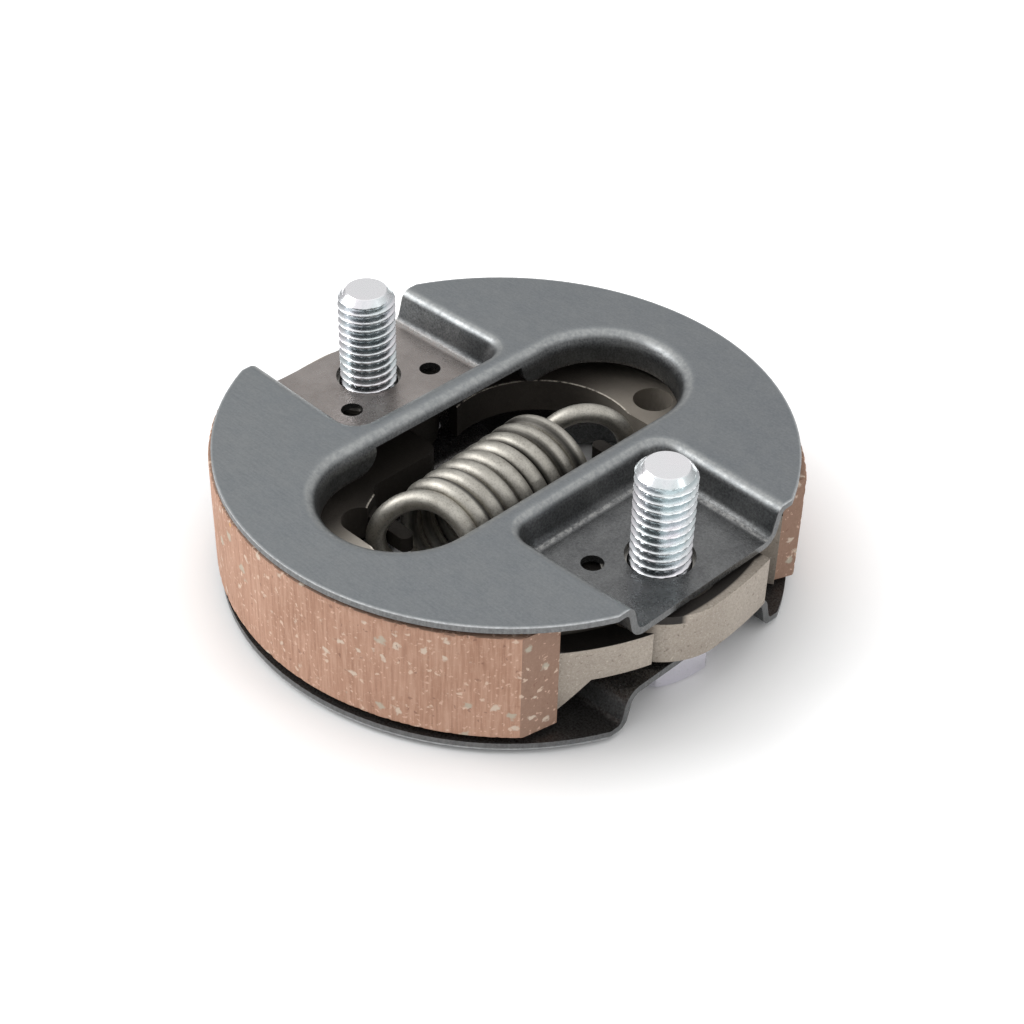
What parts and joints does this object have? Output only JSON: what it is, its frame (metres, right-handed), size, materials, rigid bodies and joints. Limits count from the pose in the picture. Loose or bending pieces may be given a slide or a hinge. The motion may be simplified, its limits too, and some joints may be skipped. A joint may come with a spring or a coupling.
{
  "type": "centrifugal clutch",
  "caption": "Centrifugal clutch with two spring-held friction shoes swinging on bolts between slotted pressed steel plates.",
  "frame": {"origin": "on the clutch's axis, in the plane of the underside of the two bolt heads", "axes": "+Z along the clutch's axis towards the threaded ends of the bolts, +X through the axis of bolt b, +Y nearly along the return spring towards the hook that holds shoe b"},
  "size_m": [0.0734, 0.076, 0.0299],
  "materials": {
    "plate": "dark blue-grey phosphate coat, worn lighter on the bends",
    "sintered": "matt, fine grained sintered steel",
    "lining": "ground face, pinkish tan with pale flecks",
    "zinc": "bright zinc plate",
    "spring": "oiled spring wire",
    "bare_steel": "plain turned or pressed steel"
  },
  "bodies": {
    "carrier": {"upper_plate": "plate", "lower_plate": "plate", "bolt_a": "zinc", "bolt_b": "zinc", "pivot_sleeve_a": "bare_steel", "pivot_sleeve_b": "bare_steel", "lower_washer_a": "bare_steel", "lower_washer_b": "bare_steel", "upper_washer_a": "bare_steel", "upper_washer_b": "bare_steel", "return_spring": "spring"},
    "shoe_a": {"shoe_a": "sintered", "lining_a": "lining"},
    "shoe_b": {"shoe_b": "sintered", "lining_b": "lining"}
  },
  "joints": [
    {"name": "pivot_a", "type": "hinge", "parent": "carrier", "child": "shoe_a", "pos_m": [-0.027, 0, 0.01065], "axis": [0, 0, -1], "range_deg": [0, 4.5], "stiffness_Nm_per_rad": 4, "springref_deg": -17.19, "deforming": ["return_spring"]},
    {"name": "pivot_b", "type": "hinge", "parent": "carrier", "child": "shoe_b", "pos_m": [0.027, 0, 0.01065], "axis": [0, 0, -1], "range_deg": [0, 4.5], "stiffness_Nm_per_rad": 4, "springref_deg": -17.19, "deforming": ["return_spring"]}
  ]
}
